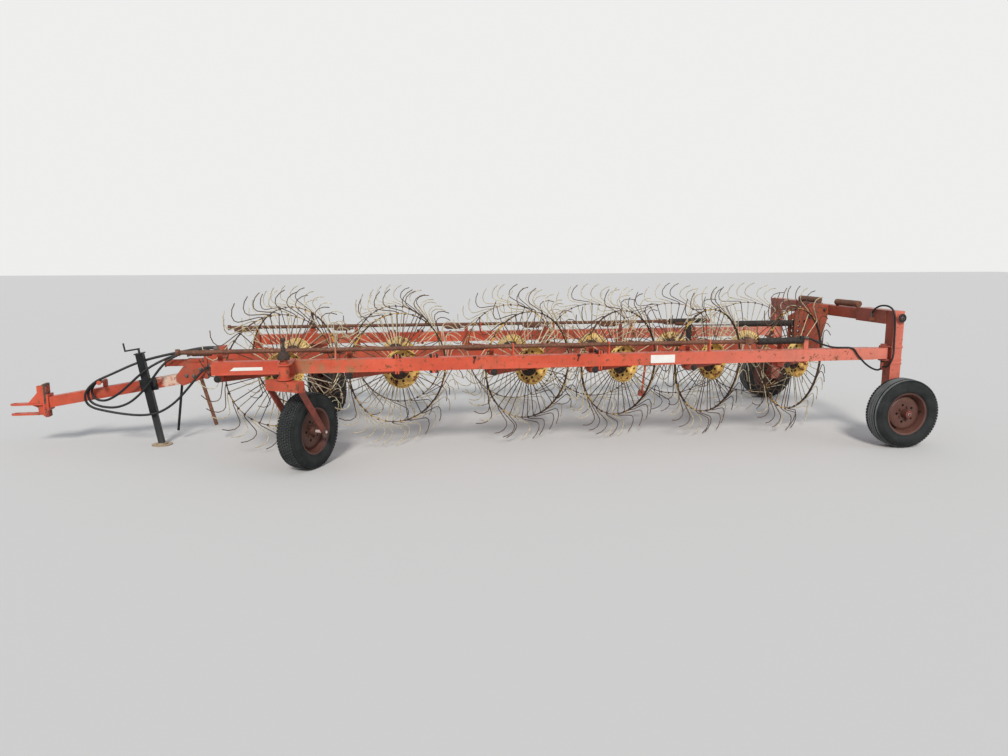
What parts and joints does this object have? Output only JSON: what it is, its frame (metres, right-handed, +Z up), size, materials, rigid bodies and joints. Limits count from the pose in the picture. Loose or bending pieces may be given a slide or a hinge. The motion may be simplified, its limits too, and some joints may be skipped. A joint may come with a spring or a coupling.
{
  "type": "rotary hay rake",
  "caption": "Towed V-type hay rake with tined finger wheels on lifting arms under two side beams that swing from a high rear arch, with caster wheels, drawbar, jack and pin hitch.",
  "frame": {"origin": "bottom centre of the whole rake, on the ground", "axes": "+X runs to the rear along the spine, away from the hitch; +Y is the far side; +Z is up"},
  "size_m": [7.9, 2.739, 1.3717],
  "materials": {
    "frame_paint": "satin",
    "inner_tube_paint": "matte",
    "arm_paint": "matte",
    "rim_paint": "matte",
    "black_paint": "satin",
    "cylinder_steel": "satin",
    "rusty_steel": "matte",
    "tine_steel": "matte",
    "tyre_rubber": "matte",
    "hose_rubber": "satin"
  },
  "bodies": {
    "frame": {"spine": "frame_paint", "mast": "frame_paint", "crossbar": "inner_tube_paint", "crossbar_cylinders": "black_paint", "spine_cylinder": "cylinder_steel", "post_near": "frame_paint", "post_far": "frame_paint", "head_frame": "frame_paint", "front_props": "rusty_steel", "drawbar": "frame_paint", "hitch_plate": "black_paint", "hitch_clevis": "frame_paint", "jack_tube": "black_paint", "hose_low": "hose_rubber", "hose_middle": "hose_rubber", "hose_upper": "hose_rubber", "hose_post": "hose_rubber"},
    "jack_foot": {"jack_leg": "cylinder_steel"},
    "near_beam": {"beam_near": "frame_paint", "lift_cylinder_near": "black_paint", "hose_beam": "hose_rubber"},
    "near_bar": {"lift_bar_near": "rusty_steel"},
    "near_arm_1": {"arm_near_1": "arm_paint"},
    "near_wheel_1": {"tine_wheel_near_1": "tine_steel"},
    "near_arm_2": {"arm_near_2": "arm_paint"},
    "near_wheel_2": {"tine_wheel_near_2": "tine_steel"},
    "near_arm_3": {"arm_near_3": "arm_paint"},
    "near_wheel_3": {"tine_wheel_near_3": "tine_steel"},
    "near_arm_4": {"arm_near_4": "arm_paint"},
    "near_wheel_4": {"tine_wheel_near_4": "tine_steel"},
    "near_arm_5": {"arm_near_5": "arm_paint"},
    "near_wheel_5": {"tine_wheel_near_5": "tine_steel"},
    "near_arm_6": {"arm_near_6": "arm_paint"},
    "near_wheel_6": {"tine_wheel_near_6": "tine_steel"},
    "near_caster": {"caster_near": "frame_paint"},
    "near_caster_wheel": {"caster_tyre_near": "tyre_rubber", "caster_rim_near": "rim_paint"},
    "near_rear_wheel": {"rear_tyre_near": "tyre_rubber", "rear_rim_near": "rim_paint"},
    "far_beam": {"beam_far": "frame_paint", "lift_cylinder_far": "black_paint"},
    "far_bar": {"lift_bar_far": "rusty_steel"},
    "far_arm_1": {"arm_far_1": "arm_paint"},
    "far_wheel_1": {"tine_wheel_far_1": "tine_steel"},
    "far_arm_2": {"arm_far_2": "arm_paint"},
    "far_wheel_2": {"tine_wheel_far_2": "tine_steel"},
    "far_arm_3": {"arm_far_3": "arm_paint"},
    "far_wheel_3": {"tine_wheel_far_3": "tine_steel"},
    "far_arm_4": {"arm_far_4": "arm_paint"},
    "far_wheel_4": {"tine_wheel_far_4": "tine_steel"},
    "far_arm_5": {"arm_far_5": "arm_paint"},
    "far_wheel_5": {"tine_wheel_far_5": "tine_steel"},
    "far_arm_6": {"arm_far_6": "arm_paint"},
    "far_wheel_6": {"tine_wheel_far_6": "tine_steel"},
    "far_caster": {"caster_far": "frame_paint"},
    "far_caster_wheel": {"caster_tyre_far": "tyre_rubber", "caster_rim_far": "rim_paint"},
    "far_rear_wheel": {"rear_tyre_far": "tyre_rubber", "rear_rim_far": "rim_paint"}
  },
  "joints": [
    {"name": "jack_slide", "type": "slide", "parent": "frame", "child": "jack_foot", "axis": [-0.1588, 0, 0.9873], "range_m": [0, 0.22]},
    {"name": "near_beam_swing", "type": "hinge", "parent": "frame", "child": "near_beam", "pos_m": [3.555, -1, 0.8], "axis": [0, 0, 1], "range_deg": [0, 30]},
    {"name": "near_bar_slide", "type": "slide", "parent": "near_beam", "child": "near_bar", "axis": [-1, 0, 0], "range_m": [0, 0.088]},
    {"name": "near_arm_1_lift", "type": "hinge", "parent": "near_beam", "child": "near_arm_1", "pos_m": [-2.025, -0.913, 0.724], "axis": [0, -1, 0], "range_deg": [0, 25]},
    {"name": "near_wheel_1_spin", "type": "hinge", "parent": "near_arm_1", "child": "near_wheel_1", "pos_m": [-1.625, -0.47, 0.69], "axis": [0.4695, -0.8829, 0], "continuous": true},
    {"name": "near_arm_2_lift", "type": "hinge", "parent": "near_beam", "child": "near_arm_2", "pos_m": [-1.048, -0.913, 0.724], "axis": [0, -1, 0], "range_deg": [0, 25]},
    {"name": "near_wheel_2_spin", "type": "hinge", "parent": "near_arm_2", "child": "near_wheel_2", "pos_m": [-0.648, -0.47, 0.69], "axis": [0.4695, -0.8829, 0], "continuous": true},
    {"name": "near_arm_3_lift", "type": "hinge", "parent": "near_beam", "child": "near_arm_3", "pos_m": [0.087, -0.913, 0.724], "axis": [0, -1, 0], "range_deg": [0, 25]},
    {"name": "near_wheel_3_spin", "type": "hinge", "parent": "near_arm_3", "child": "near_wheel_3", "pos_m": [0.487, -0.47, 0.69], "axis": [0.4695, -0.8829, 0], "continuous": true},
    {"name": "near_arm_4_lift", "type": "hinge", "parent": "near_beam", "child": "near_arm_4", "pos_m": [0.925, -0.913, 0.724], "axis": [0, -1, 0], "range_deg": [0, 25]},
    {"name": "near_wheel_4_spin", "type": "hinge", "parent": "near_arm_4", "child": "near_wheel_4", "pos_m": [1.325, -0.47, 0.69], "axis": [0.4695, -0.8829, 0], "continuous": true},
    {"name": "near_arm_5_lift", "type": "hinge", "parent": "near_beam", "child": "near_arm_5", "pos_m": [1.776, -0.913, 0.724], "axis": [0, -1, 0], "range_deg": [0, 25]},
    {"name": "near_wheel_5_spin", "type": "hinge", "parent": "near_arm_5", "child": "near_wheel_5", "pos_m": [2.176, -0.47, 0.69], "axis": [0.4695, -0.8829, 0], "continuous": true},
    {"name": "near_arm_6_lift", "type": "hinge", "parent": "near_beam", "child": "near_arm_6", "pos_m": [2.618, -0.913, 0.724], "axis": [0, -1, 0], "range_deg": [0, 25]},
    {"name": "near_wheel_6_spin", "type": "hinge", "parent": "near_arm_6", "child": "near_wheel_6", "pos_m": [3.018, -0.47, 0.69], "axis": [0.4695, -0.8829, 0], "continuous": true},
    {"name": "near_caster_swivel", "type": "hinge", "parent": "near_beam", "child": "near_caster", "pos_m": [-1.51, -1.26, 0.8], "axis": [0, 0, 1], "continuous": true},
    {"name": "near_caster_roll", "type": "hinge", "parent": "near_caster", "child": "near_caster_wheel", "pos_m": [-1.3761, -1.0371, 0.3], "axis": [-0.8572, 0.515, 0], "continuous": true},
    {"name": "near_rear_roll", "type": "hinge", "parent": "frame", "child": "near_rear_wheel", "pos_m": [3.65, -1.183, 0.3], "axis": [0, 1, 0], "continuous": true},
    {"name": "far_beam_swing", "type": "hinge", "parent": "frame", "child": "far_beam", "pos_m": [3.555, 1, 0.8], "axis": [0, 0, -1], "range_deg": [0, 30]},
    {"name": "far_bar_slide", "type": "slide", "parent": "far_beam", "child": "far_bar", "axis": [-1, 0, 0], "range_m": [0, 0.088]},
    {"name": "far_arm_1_lift", "type": "hinge", "parent": "far_beam", "child": "far_arm_1", "pos_m": [-2.025, 0.913, 0.724], "axis": [0, -1, 0], "range_deg": [0, 25]},
    {"name": "far_wheel_1_spin", "type": "hinge", "parent": "far_arm_1", "child": "far_wheel_1", "pos_m": [-1.625, 0.47, 0.69], "axis": [0.4695, 0.8829, 0], "continuous": true},
    {"name": "far_arm_2_lift", "type": "hinge", "parent": "far_beam", "child": "far_arm_2", "pos_m": [-1.048, 0.913, 0.724], "axis": [0, -1, 0], "range_deg": [0, 25]},
    {"name": "far_wheel_2_spin", "type": "hinge", "parent": "far_arm_2", "child": "far_wheel_2", "pos_m": [-0.648, 0.47, 0.69], "axis": [0.4695, 0.8829, 0], "continuous": true},
    {"name": "far_arm_3_lift", "type": "hinge", "parent": "far_beam", "child": "far_arm_3", "pos_m": [0.087, 0.913, 0.724], "axis": [0, -1, 0], "range_deg": [0, 25]},
    {"name": "far_wheel_3_spin", "type": "hinge", "parent": "far_arm_3", "child": "far_wheel_3", "pos_m": [0.487, 0.47, 0.69], "axis": [0.4695, 0.8829, 0], "continuous": true},
    {"name": "far_arm_4_lift", "type": "hinge", "parent": "far_beam", "child": "far_arm_4", "pos_m": [0.925, 0.913, 0.724], "axis": [0, -1, 0], "range_deg": [0, 25]},
    {"name": "far_wheel_4_spin", "type": "hinge", "parent": "far_arm_4", "child": "far_wheel_4", "pos_m": [1.325, 0.47, 0.69], "axis": [0.4695, 0.8829, 0], "continuous": true},
    {"name": "far_arm_5_lift", "type": "hinge", "parent": "far_beam", "child": "far_arm_5", "pos_m": [1.776, 0.913, 0.724], "axis": [0, -1, 0], "range_deg": [0, 25]},
    {"name": "far_wheel_5_spin", "type": "hinge", "parent": "far_arm_5", "child": "far_wheel_5", "pos_m": [2.176, 0.47, 0.69], "axis": [0.4695, 0.8829, 0], "continuous": true},
    {"name": "far_arm_6_lift", "type": "hinge", "parent": "far_beam", "child": "far_arm_6", "pos_m": [2.618, 0.913, 0.724], "axis": [0, -1, 0], "range_deg": [0, 25]},
    {"name": "far_wheel_6_spin", "type": "hinge", "parent": "far_arm_6", "child": "far_wheel_6", "pos_m": [3.018, 0.47, 0.69], "axis": [0.4695, 0.8829, 0], "continuous": true},
    {"name": "far_caster_swivel", "type": "hinge", "parent": "far_beam", "child": "far_caster", "pos_m": [-1.51, 1.26, 0.8], "axis": [0, 0, 1], "continuous": true},
    {"name": "far_caster_roll", "type": "hinge", "parent": "far_caster", "child": "far_caster_wheel", "pos_m": [-1.3761, 1.0371, 0.3], "axis": [0.8572, 0.515, 0], "continuous": true},
    {"name": "far_rear_roll", "type": "hinge", "parent": "frame", "child": "far_rear_wheel", "pos_m": [3.65, 1.183, 0.3], "axis": [0, 1, 0], "continuous": true}
  ],
  "couplings": [
    {"joint": "near_arm_1_lift", "follows": "near_bar_slide", "rad_per_m": 4.95},
    {"joint": "near_arm_2_lift", "follows": "near_bar_slide", "rad_per_m": 4.95},
    {"joint": "near_arm_3_lift", "follows": "near_bar_slide", "rad_per_m": 4.95},
    {"joint": "near_arm_4_lift", "follows": "near_bar_slide", "rad_per_m": 4.95},
    {"joint": "near_arm_5_lift", "follows": "near_bar_slide", "rad_per_m": 4.95},
    {"joint": "near_arm_6_lift", "follows": "near_bar_slide", "rad_per_m": 4.95},
    {"joint": "far_arm_1_lift", "follows": "far_bar_slide", "rad_per_m": 4.95},
    {"joint": "far_arm_2_lift", "follows": "far_bar_slide", "rad_per_m": 4.95},
    {"joint": "far_arm_3_lift", "follows": "far_bar_slide", "rad_per_m": 4.95},
    {"joint": "far_arm_4_lift", "follows": "far_bar_slide", "rad_per_m": 4.95},
    {"joint": "far_arm_5_lift", "follows": "far_bar_slide", "rad_per_m": 4.95},
    {"joint": "far_arm_6_lift", "follows": "far_bar_slide", "rad_per_m": 4.95}
  ]
}
